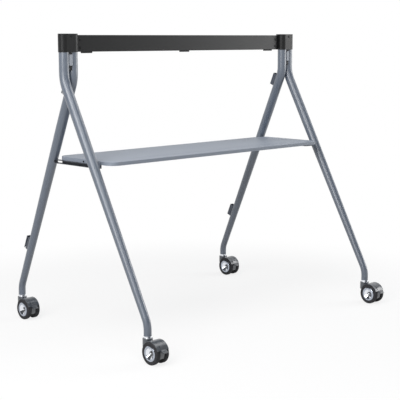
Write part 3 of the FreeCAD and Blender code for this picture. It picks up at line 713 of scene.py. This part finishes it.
def turned(name: str, centre: np.ndarray, axis: int, profile: Sequence[tuple[float, float]],
           steps: int) -> bpy.types.Object:
    """Turn an outline about one of the three axes.

    Args:
        name: The object's name.
        centre: Origin of the outline.
        axis: X, Y or Z.
        profile: Corners as (distance along the axis, radius); the first and last have no radius.
        steps: Points about the axis.

    Returns:
        The new object.
    """
    angle = np.linspace(0.0, TURN, steps, endpoint=False)
    outline = np.array(profile)
    grid = np.zeros((len(outline) - 2, steps, 3))
    grid[:, :, axis] = outline[1:-1, 0][:, None]
    grid[:, :, (axis + 1) % 3] = outline[1:-1, 1][:, None] * np.cos(angle)
    grid[:, :, (axis + 2) % 3] = outline[1:-1, 1][:, None] * np.sin(angle)
    poles = tuple(moved_to(centre, axis, centre[axis] + along) for along in outline[[0, -1], 0])
    return skin(name, grid + centre, False, True, poles)


def box_of(node: str) -> tuple[np.ndarray, np.ndarray]:
    """Lowest and highest corner of a node's solid."""
    low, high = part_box(node)
    return np.array(low), np.array(high)


def joint_place(name: str) -> np.ndarray:
    """Where a joint of the record stands."""
    found = next(joint for joint in frame["joints"] if joint["name"] == name)
    return np.array(found["pos_m"], dtype=float)


def add_piece(made: bpy.types.Object, finish: Finish, body: str) -> None:
    """Finish a new piece: its material and the body that it rides on.

    Args:
        made: The new object.
        finish: Its finish.
        body: Name of the rigid body that carries it.
    """
    made.data.materials.append(finish.make())
    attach(made, body)


# The studio


@dataclass(frozen=True)
class Lamp:
    """A soft rectangular lamp: where its middle is, its width and height, and its watts."""

    name: str
    place: Point
    size: tuple[float, float]
    power: float

    def hang(self, target: Point) -> None:
        """Put the lamp in the scene.

        Args:
            target: The point that it faces.
        """
        data = bpy.data.lights.new(self.name, "AREA")
        data.shape = "RECTANGLE"
        data.size, data.size_y = self.size
        data.energy = self.power
        lamp = bpy.data.objects.new(self.name, data)
        bpy.context.scene.collection.objects.link(lamp)
        lamp.location = self.place
        aim = Vector(target) - Vector(self.place)
        lamp.rotation_euler = aim.to_track_quat("-Z", "Y").to_euler()


@dataclass
class Studio:
    """Pale floor and backdrop, soft lamps and the camera at the photograph's viewing angle."""

    camera_place: Point = (-3.4785, -3.5891, 1.3046)
    yaw: float = 44.045
    pitch: float = 8.643
    roll: float = -0.130
    film: float = 36.0
    focus_share: float = 1055.57 / 400.0
    sight: float = 200.0
    floor_reach: float = 40.0
    backdrop_distance: float = 9.0
    backdrop_bend: float = 3.0
    backdrop_height: float = 9.0
    rim_start: float = 25.0
    rim_height: float = 8.0
    floor_rows: int = 24
    bend_rows: int = 33
    floor_columns: int = 33
    pale: Colour = (0.93, 0.93, 0.93)
    shade: Colour = (0.2, 0.2, 0.21)
    near_reach: float = 1.0
    far_reach: float = 2.0
    near_glow: float = 0.8
    sky: Colour = (0.93, 0.96, 1.0)
    sky_low: float = 0.1
    sky_high: float = 0.2
    sky_edge: float = 0.75
    sky_soft: float = 0.25
    lamp_target: Point = (0.0, 0.0, 0.75)
    lamps: tuple[Lamp, ...] = (
        Lamp("front_panel", (-1.7, -3.0, 3.6), (1.8, 2.4), 34.0),
        Lamp("left_strip", (-3.75, -1.05, 2.75), (2.4, 3.4), 128.0),
        Lamp("high_panel", (-2.0, -0.4, 4.6), (1.8, 1.8), 46.0),
        Lamp("right_panel", (3.9, -2.2, 1.4), (1.8, 1.8), 50.0),
        Lamp("right_high_panel", (2.6, -0.6, 3.4), (2.0, 1.8), 34.0),
    )

    def level_axes(self) -> tuple[np.ndarray, np.ndarray]:
        """Level unit vectors ahead of the camera and to its right."""
        yaw = math.radians(self.yaw)
        return np.array([math.sin(yaw), math.cos(yaw), 0.0]), np.array([math.cos(yaw), -math.sin(yaw), 0.0])

    def aim_camera(self) -> None:
        """Place the camera from its yaw, pitch and roll."""
        data = bpy.data.cameras.new("view_camera")
        data.sensor_width = self.film
        data.lens = self.film * self.focus_share
        data.clip_end = self.sight
        camera = bpy.data.objects.new("view_camera", data)
        bpy.context.scene.collection.objects.link(camera)
        pitch, roll = math.radians(self.pitch), math.radians(self.roll)
        level_ahead, right = self.level_axes()
        ahead = moved_to(level_ahead * math.cos(pitch), Z, -math.sin(pitch))
        above = np.cross(right, ahead)
        right, above = (right * math.cos(roll) + above * math.sin(roll),
                        above * math.cos(roll) - right * math.sin(roll))
        facing = Matrix((right, above, -ahead)).transposed()
        camera.matrix_world = Matrix.Translation(self.camera_place) @ facing.to_4x4()
        bpy.context.scene.camera = camera

    def pale_ground(self) -> bpy.types.Material:
        """Ground that keeps the stand's shadow near it and turns plain white further out.

        Returns:
            The ground's material.
        """
        material = bpy.data.materials.new("pale_ground")
        kit = fresh_kit(material)
        path = kit.node("ShaderNodeLightPath", {}, {}).link.node.outputs
        seen = [Sock(kit, path[name]) for name in ("Is Camera Ray", "Is Glossy Ray", "Is Transmission Ray")]
        amount = (seen[0] + seen[1] + seen[2]).clamp()
        across, back, rise = kit.axes(kit.place())
        reach = (across * across + back * back + rise * rise) ** 0.5
        far = reach.above((self.near_reach + self.far_reach) / 2, (self.far_reach - self.near_reach) / 2)
        shader = kit.node("ShaderNodeBsdfDiffuse", {}, {"Color": kit.blend(amount, self.shade, self.pale)})
        glow = kit.node("ShaderNodeEmission", {}, {"Color": (1.0, 1.0, 1.0), "Strength": 1.0})
        share = amount * (self.near_glow + (1.0 - self.near_glow) * far)
        mixed = kit.node("ShaderNodeMixShader", {}, {0: share, 1: shader, 2: glow})
        kit.node("ShaderNodeOutputMaterial", {}, {"Surface": mixed})
        return material

    def rim_share(self, out: np.ndarray) -> np.ndarray:
        """Square of how far distances lie past the rim's start, as a share of the way to the edge."""
        return np.clip((out - self.rim_start) / (self.floor_reach - self.rim_start), 0.0, 1.0) ** 2

    def lay_floor(self) -> None:
        """A wide floor that curves up into a backdrop behind the stand.

        The profile runs level, through a quarter of a circle, and up; it is carried along a straight line.
        Past rim_start, the other three sides rise by rim_height times the square of their share of the way out.
        """
        foot = self.backdrop_distance - self.backdrop_bend
        runs = np.linspace(-self.floor_reach, foot, self.floor_rows)
        level = np.stack([runs, self.rim_height * self.rim_share(-runs)], axis=-1)
        turn = np.linspace(0.0, math.pi / 2, self.bend_rows)[1:]
        curve = np.stack([foot + self.backdrop_bend * np.sin(turn),
                          self.backdrop_bend * (1.0 - np.cos(turn))], axis=-1)
        wall = np.array([[self.backdrop_distance, self.backdrop_height]])
        profile = np.concatenate([level, curve, wall])
        widths = np.linspace(-self.floor_reach, self.floor_reach, self.floor_columns)
        sides = self.rim_height * self.rim_share(np.abs(widths))
        ahead, right = self.level_axes()
        heights = profile[:, None, 1:] + sides[None, :, None]
        grid = profile[:, None, :1] * ahead + heights * np.array([0.0, 0.0, 1.0]) + widths[None, :, None] * right
        floor = skin("floor", grid, False, False)
        floor.data.materials.append(self.pale_ground())

    def light(self) -> None:
        """Hang a tall strip on the left and soft panels in front, on the right and overhead, in a dim room."""
        for lamp in self.lamps:
            lamp.hang(self.lamp_target)
        world = bpy.data.worlds.new("soft_room")
        bpy.context.scene.world = world
        kit = fresh_kit(world)
        way = kit.node("ShaderNodeTexCoord", {}, {}, "Generated")
        above = kit.towards(way, 0.0, 90.0).above(self.sky_edge, self.sky_soft)
        level = self.sky_low + self.sky_high * above
        sky = kit.node("ShaderNodeBackground", {}, {"Color": self.sky, "Strength": level})
        kit.node("ShaderNodeOutputWorld", {}, {"Surface": sky})

    def build(self) -> None:
        """Set up the whole studio."""
        bpy.context.scene.view_settings.view_transform = "Standard"
        self.aim_camera()
        self.lay_floor()
        self.light()


# The stand


def surface_point(node: str, start: Point, way: Point) -> np.ndarray:
    """Where a ray first meets a node's solid.

    Args:
        node: The node's name.
        start: Start of the ray.
        way: Its direction.

    Returns:
        The point on the surface.
    """
    hit, place, _, _ = frame["nodes"][node].ray_cast(Vector(start), Vector(way))
    if not hit:
        raise ValueError(f"no surface of {node} from {tuple(start)}")
    return np.array(place)


@dataclass
class Legs:
    """Four bent tubes, with the sleeves, plates and fillers that join them at the top."""

    screw_ring: float = 0.45 * MM
    screw_ring_gap: float = 0.9 * MM

    def dress(self) -> None:
        """Paint the tubes and their joints."""
        for side in Side:
            for end in End:
                dress(LEG_PAINT, f"{side.word}_{end.word}_leg")
            dress(CAP_PLASTIC, f"{side.word}_end_cap")
            dress(FILLER_PLASTIC, f"{side.word}_leg_spacer")
            dress(BARE_METAL, f"{side.word}_tie_plate")
        dress(BLACK_FIXING, "cap_screws")
        dress(FILLER_PLASTIC, "leg_foot_sockets")

    def add_pieces(self) -> None:
        """Raise a moulded ring about the screw in the front of each sleeve."""
        screw_low, screw_high = box_of("cap_screws")
        head_radius = (screw_high[2] - screw_low[2]) / 2
        for side in Side:
            cap_low, _ = box_of(f"{side.word}_end_cap")
            place_x = side.value * (screw_high[0] - head_radius)
            centre = np.array([place_x, cap_low[1], (screw_low[2] + screw_high[2]) / 2])
            made = ring(f"{side.word}_cap_screw_ring", centre, Y, head_radius + self.screw_ring_gap,
                        self.screw_ring, SCREW_RING_STEPS)
            add_piece(made, CAP_PLASTIC, STAND)


@dataclass
class Beam:
    """The black cross beam with its spigots, screws and pads."""

    head_radius: float = 5.0 * MM
    head_height: float = 2.6 * MM
    seat_ring: float = 0.4 * MM
    pad_rib: float = 0.5 * MM
    pad_ribs: int = 3
    pad_rib_inset: float = 5.0 * MM
    pads: tuple[str, ...] = ("left", "middle", "right")

    def dress(self) -> None:
        """Paint the beam and what it carries."""
        dress(BEAM_PAINT, "beam")
        dress(BLACK_FIXING, "beam_screws")
        for side in Side:
            dress(BARE_METAL, f"{side.word}_beam_spigot")
        for word in self.pads:
            dress(FILLER_PLASTIC, f"{word}_rest_pad")

    def add_pieces(self) -> None:
        """Seat each screw on a ring of paint, and rib the pads."""
        low, high = box_of("beam_screws")
        for side in Side:
            for word, height in (("upper", high[2] - self.head_radius), ("lower", low[2] + self.head_radius)):
                centre = np.array([side.value * (high[0] - self.head_radius), low[1] + self.head_height, height])
                made = ring(f"{side.word}_{word}_screw_seat", centre, Y, self.head_radius, self.seat_ring,
                            SCREW_RING_STEPS)
                add_piece(made, BEAM_PAINT, STAND)
        for word in self.pads:
            pad_low, pad_high = box_of(f"{word}_rest_pad")
            for number in range(self.pad_ribs):
                height = pad_low[2] + (pad_high[2] - pad_low[2]) * (number + 0.5) / self.pad_ribs
                start, stop = (np.array([x, pad_low[1], height])
                               for x in (pad_low[0] + self.pad_rib_inset, pad_high[0] - self.pad_rib_inset))
                made = capsule(f"{word}_pad_rib_{number + 1}", start, stop, self.pad_rib)
                add_piece(made, FILLER_PLASTIC, STAND)


@dataclass
class Shelf:
    """The folded shelf with its rails, brackets and welds."""

    lip_reach: float = 14.0 * MM
    corner_radius: float = 31.0 * MM
    hem: float = 1.1 * MM
    bead: float = 1.6 * MM
    bead_pitch: float = 2.6 * MM
    bolt_seat: float = 0.4 * MM
    head_radius: float = 4.6 * MM
    head_height: float = 3.4 * MM
    corner_steps: int = 10
    foot_share: float = 0.9
    rail_weld_share: float = 0.25
    bracket_weld_steps: int = 40
    rail_weld_steps: int = 24

    def dress(self) -> None:
        """Paint the shelf and its fittings."""
        dress(SHELF_PAINT, "shelf")
        for side in Side:
            dress(RAIL_PAINT, f"{side.word}_shelf_rail")
            dress(SHELF_PAINT, f"{side.word}_shelf_bracket")
        dress(BLACK_FIXING, "shelf_bolts", "shelf_nuts")

    def hem_path(self) -> np.ndarray:
        """A rectangle with rounded corners along the inner edge of the shelf's return lips.

        Returns:
            Its points, from the right rear corner on.
        """
        low, high = box_of("shelf")
        inset = self.lip_reach + self.corner_radius
        near, far = low + inset, high - inset
        parts = []
        for quarter, (x, y) in enumerate(((far[0], far[1]), (near[0], far[1]), (near[0], near[1]), (far[0], near[1]))):
            first = quarter * math.pi / 2
            centre = np.array([x, y, low[2] + self.hem])
            parts.append(arc_path(centre, Z, self.corner_radius, first, first + math.pi / 2, self.corner_steps))
        return np.concatenate(parts)

    def weld(self, name: str, path: list[np.ndarray]) -> None:
        """Lay a painted bead along a path."""
        made = weld_bead(name, np.array(path), self.bead, self.bead_pitch)
        add_piece(made, WELD_PAINT, STAND)

    def weld_bracket(self, side: Side) -> None:
        """Lay a bead down each face of a bracket's foot where it meets the front leg.

        Args:
            side: The bracket's side.
        """
        low, high = box_of(f"{side.word}_shelf_bracket")
        rail_low, _ = box_of(f"{side.word}_shelf_rail")
        start_x = self.foot_share * side.value * abs(low[0] if side is Side.LEFT else high[0])
        heights = np.linspace(low[2] + self.bead, high[2] - self.bead, self.bracket_weld_steps)
        for word, depth in (("front", low[1]), ("rear", rail_low[1])):
            self.weld(f"{side.word}_bracket_{word}_weld",
                      [surface_point(f"{side.word}_front_leg", (start_x, depth, height), (side.value, 0.0, 0.0))
                       for height in heights])

    def weld_rail(self, side: Side) -> None:
        """Lay a bead over and under a rail's rounded end where it meets the rear leg.

        Args:
            side: The rail's side.
        """
        low, high = box_of(f"{side.word}_shelf_rail")
        across = np.linspace(low[0] + self.bead, high[0] - self.bead, self.rail_weld_steps)
        for word, way in (("upper", 1.0), ("lower", -1.0)):
            height = (low[2] + high[2]) / 2 + way * self.rail_weld_share * (high[2] - low[2])
            self.weld(f"{side.word}_rail_{word}_weld",
                      [surface_point(f"{side.word}_rear_leg", (x, low[1], height), (0.0, 1.0, 0.0)) for x in across])

    def seat_bolts(self, side: Side) -> None:
        """Seat each bolt of a bracket on a ring of paint.

        Args:
            side: The bracket's side.
        """
        low, high = box_of("shelf_bolts")
        face = side.value * (high[0] - self.head_height)
        for word, depth in (("front", low[1] + self.head_radius), ("rear", high[1] - self.head_radius)):
            centre = np.array([face, depth, (low[2] + high[2]) / 2])
            made = ring(f"{side.word}_{word}_bolt_seat", centre, X, self.head_radius, self.bolt_seat,
                        SCREW_RING_STEPS)
            add_piece(made, SHELF_PAINT, STAND)

    def add_pieces(self) -> None:
        """Add the rolled hem under the shelf, the welds and the bolts' seats."""
        add_piece(tube("shelf_hem", self.hem_path(), self.hem, True), SHELF_PAINT, STAND)
        for side in Side:
            self.weld_bracket(side)
            self.weld_rail(side)
            self.seat_bolts(side)


@dataclass
class CableClips:
    """Cable channels on the rear legs."""

    wall: float = 2.2 * MM
    slot: float = 7.0 * MM
    slot_offset: float = 2.0 * MM
    lip: float = 1.35 * MM
    length: float = 60.0 * MM
    probe: float = 30.0 * MM

    @property
    def channels(self) -> list[tuple[Side, str]]:
        """Side and node name of each channel."""
        return [(side, f"{side.word}_{level}_cable_clip") for side in Side for level in ("upper", "lower")]

    def dress(self) -> None:
        """Dress the channels."""
        dress(CLIP_PLASTIC, *(node for _, node in self.channels))

    def run_of_leg(self, side: Side, middle: np.ndarray) -> np.ndarray:
        """Unit vector down the back of a rear leg.

        Args:
            side: The leg's side.
            middle: A point beside it.

        Returns:
            The unit vector.
        """
        above, below = (surface_point(f"{side.word}_rear_leg", middle + np.array([0.0, CLEAR, rise]), (0.0, -1.0, 0.0))
                        for rise in (self.probe, -self.probe))
        return unit(below - above)

    def add_pieces(self) -> None:
        """Round the two edges of each channel's slot."""
        for side, node in self.channels:
            low, high = box_of(node)
            middle = (low + high) / 2
            along = self.run_of_leg(side, middle)
            outward = np.array([0.0, -along[2], along[1]])
            edge_x = side.value * ((high[0] - low[0]) / 2 - self.wall / 2)
            reach = along * self.length / 2
            for word, way in (("inner", -1.0), ("outer", 1.0)):
                across = self.slot_offset + way * self.slot / 2
                centre = middle + outward * across + np.array([edge_x, 0.0, 0.0])
                made = capsule(f"{node}_{word}_lip", centre - reach, centre + reach, self.lip)
                add_piece(made, CLIP_PLASTIC, STAND)


@dataclass
class Caster:
    """One caster: collar, housing, pedal, axle, tyres and hubs."""

    side: Side
    end: End
    rim: float = 0.55 * MM
    band: float = 0.3 * MM
    band_drops: tuple[float, ...] = (2.6 * MM, 7.2 * MM)
    seal: float = 0.55 * MM
    seal_gap: float = 0.8 * MM
    hood_bead: float = 0.6 * MM
    hood_bead_inset: float = 0.7 * MM
    hood_first: float = math.radians(31.0)
    hood_last: float = math.radians(158.0)
    wheel_wall_rings: tuple[float, ...] = (34.2 * MM, 43.6 * MM)
    wheel_wall_ring: float = 0.4 * MM
    boss_depth: float = 6.1 * MM
    boss_radius: float = 4.4 * MM
    boss_height: float = 1.7 * MM
    boss_sink: float = 1.0 * MM
    lip_radius: float = 1.9 * MM
    lip_slope: float = math.radians(24.8)
    # A dark ring painted as the shadow line between the hub's ring and its dish.
    dish_line: float = 0.5 * MM
    dish_line_radius: float = 22.9 * MM
    dish_line_depth: float = 1.0 * MM
    grip_rib: float = 0.7 * MM
    grip_inset: float = 1.6 * MM
    grip_places: tuple[float, ...] = (1.2 * MM, 4.4 * MM, 7.6 * MM, 10.8 * MM)
    hood_bead_steps: int = 48
    wall_ring_steps: int = 72
    wheel_ring_sides: int = 8
    dome_rows: int = 8
    dome_steps: int = 32

    @property
    def prefix(self) -> str:
        """Start of this caster's node and body names."""
        return f"{self.side.word}_{self.end.word}_"

    def dress(self) -> None:
        """Dress the caster's solids."""
        dress(HOOD_PLASTIC, self.prefix + "caster_housing")
        dress(PEDAL_PLASTIC, self.prefix + "brake_pedal")
        dress(PIN_STEEL, self.prefix + "axle")
        low, high = box_of(self.prefix + "caster_housing")
        axle = joint_place(self.prefix + "left_wheel_spin")
        plating = HubPlating(f"{self.end.word}_hub_plating", CHROME.colour, roughness=CHROME.roughness,
                             middle=abs(float(low[0] + high[0])) / 2, axle=(float(axle[1]), float(axle[2])))
        for word in ("left", "right"):
            dress(TYRE, f"{self.prefix}{word}_tyre")
            dress(plating, f"{self.prefix}{word}_hub")

    def ring_foot(self) -> None:
        """Roll the rim of the tube's foot, band the collar and seal the top of the housing."""
        stem = joint_place(self.prefix + "swivel")
        _, collar_high = box_of("caster_collars")
        radius = collar_high[0] - joint_place("right_front_swivel")[0]
        made = ring(self.prefix + "foot_rim", moved_to(stem, Z, collar_high[2] + self.rim), Z, radius, self.rim)
        add_piece(made, LEG_PAINT, STAND)
        for number, drop in enumerate(self.band_drops):
            level = moved_to(stem, Z, collar_high[2] - drop)
            made = ring(f"{self.prefix}collar_band_{number + 1}", level, Z, radius, self.band)
            add_piece(made, CHROME, STAND)
        start = (stem[0], stem[1] + radius + 2.0 * self.seal_gap + self.seal, CLEAR)
        barrel_top = surface_point(self.prefix + "caster_housing", start, (0.0, 0.0, -1.0))
        level = moved_to(stem, Z, barrel_top[2] - self.seal)
        made = ring(self.prefix + "swivel_seal", level, Z, radius + self.seal_gap, self.seal)
        add_piece(made, FILLER_PLASTIC, self.prefix + "caster")

    def bead_hood(self, axle: np.ndarray) -> None:
        """Raise a bead along each side edge of the hood.

        Args:
            axle: Middle of the axle.
        """
        low, high = box_of(self.prefix + "caster_housing")
        radius = high[2] - axle[2] - self.hood_bead
        for word, place in (("left", low[0] + self.hood_bead_inset), ("right", high[0] - self.hood_bead_inset)):
            path = arc_path(moved_to(axle, X, place), X, radius, self.hood_first, self.hood_last, self.hood_bead_steps)
            made = tube(f"{self.prefix}{word}_hood_bead", path, self.hood_bead)
            add_piece(made, HOOD_PLASTIC, self.prefix + "caster")

    def grip_pedal(self) -> None:
        """Lay grip ribs across the pedal's lip."""
        low, high = box_of(self.prefix + "brake_pedal")
        tip = np.array([0.0, low[1] + self.lip_radius, low[2] + 2.0 * self.lip_radius])
        up_slope = np.array([0.0, math.cos(self.lip_slope), math.sin(self.lip_slope)])
        for number, place in enumerate(self.grip_places):
            start, stop = (moved_to(tip + up_slope * place, X, x)
                           for x in (low[0] + self.grip_inset, high[0] - self.grip_inset))
            made = capsule(f"{self.prefix}pedal_rib_{number + 1}", start, stop, self.grip_rib)
            add_piece(made, PEDAL_PLASTIC, self.prefix + "pedal")

    def finish_wheel(self, word: str, way: float, axle: np.ndarray) -> None:
        """Add a wheel's moulded side rings, a dark ring painted as the shadow line about its dish, and the dome over
        its axle.

        Args:
            word: "left" or "right".
            way: Sign of the wheel's outward X.
            axle: Middle of the axle.
        """
        low, high = box_of(f"{self.prefix}{word}_tyre")
        face = high[0] if way > 0 else low[0]
        body = f"{self.prefix}{word}_wheel"
        for number, radius in enumerate(self.wheel_wall_rings):
            made = ring(f"{self.prefix}{word}_tyre_ring_{number + 1}", moved_to(axle, X, face), X, radius,
                        self.wheel_wall_ring, self.wall_ring_steps, self.wheel_ring_sides)
            add_piece(made, TYRE, body)
        # Painted shadow: a thin black ring where the dish meets the hub's ring.
        made = ring(f"{self.prefix}{word}_dish_line", moved_to(axle, X, face - way * self.dish_line_depth), X,
                    self.dish_line_radius, self.dish_line, sides=self.wheel_ring_sides)
        add_piece(made, FILLER_PLASTIC, body)
        rise = np.linspace(0.0, math.pi / 2, self.dome_rows)
        dome = [(way * self.boss_height * math.sin(turn), self.boss_radius * math.cos(turn)) for turn in rise[:-1]]
        profile = [(-way * self.boss_sink, 0.0), (-way * self.boss_sink, self.boss_radius), *dome,
                   (way * self.boss_height, 0.0)]
        centre = moved_to(axle, X, face - way * self.boss_depth)
        made = turned(f"{self.prefix}{word}_axle_dome", centre, X, profile, self.dome_steps)
        add_piece(made, CHROME, body)

    def add_pieces(self) -> None:
        """Add the small parts that the solids leave out."""
        axle = joint_place(self.prefix + "left_wheel_spin")
        self.ring_foot()
        self.bead_hood(axle)
        self.grip_pedal()
        self.finish_wheel("left", -1.0, axle)
        self.finish_wheel("right", 1.0, axle)


@dataclass
class Stand:
    """The whole stand, with its sub-assemblies in building order."""

    parts: list[Union[Legs, Beam, Shelf, CableClips, Caster]] = field(default_factory=lambda: [
        Legs(), Beam(), Shelf(), CableClips(), *(Caster(side, end) for side in Side for end in End)])

    def build(self) -> None:
        """Dress every sub-assembly and add its pieces, in order."""
        dress(PIN_STEEL, "caster_stems")
        dress(CHROME, "caster_collars")
        for part in self.parts:
            part.dress()
            part.add_pieces()
            LOG.info("built %s", getattr(part, "prefix", type(part).__name__))


def main() -> None:
    """Build the studio and the stand."""
    logging.basicConfig(level=logging.INFO, format="%(name)s: %(message)s")
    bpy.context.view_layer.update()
    Studio().build()
    Stand().build()


if __name__ == "__main__":
    main()
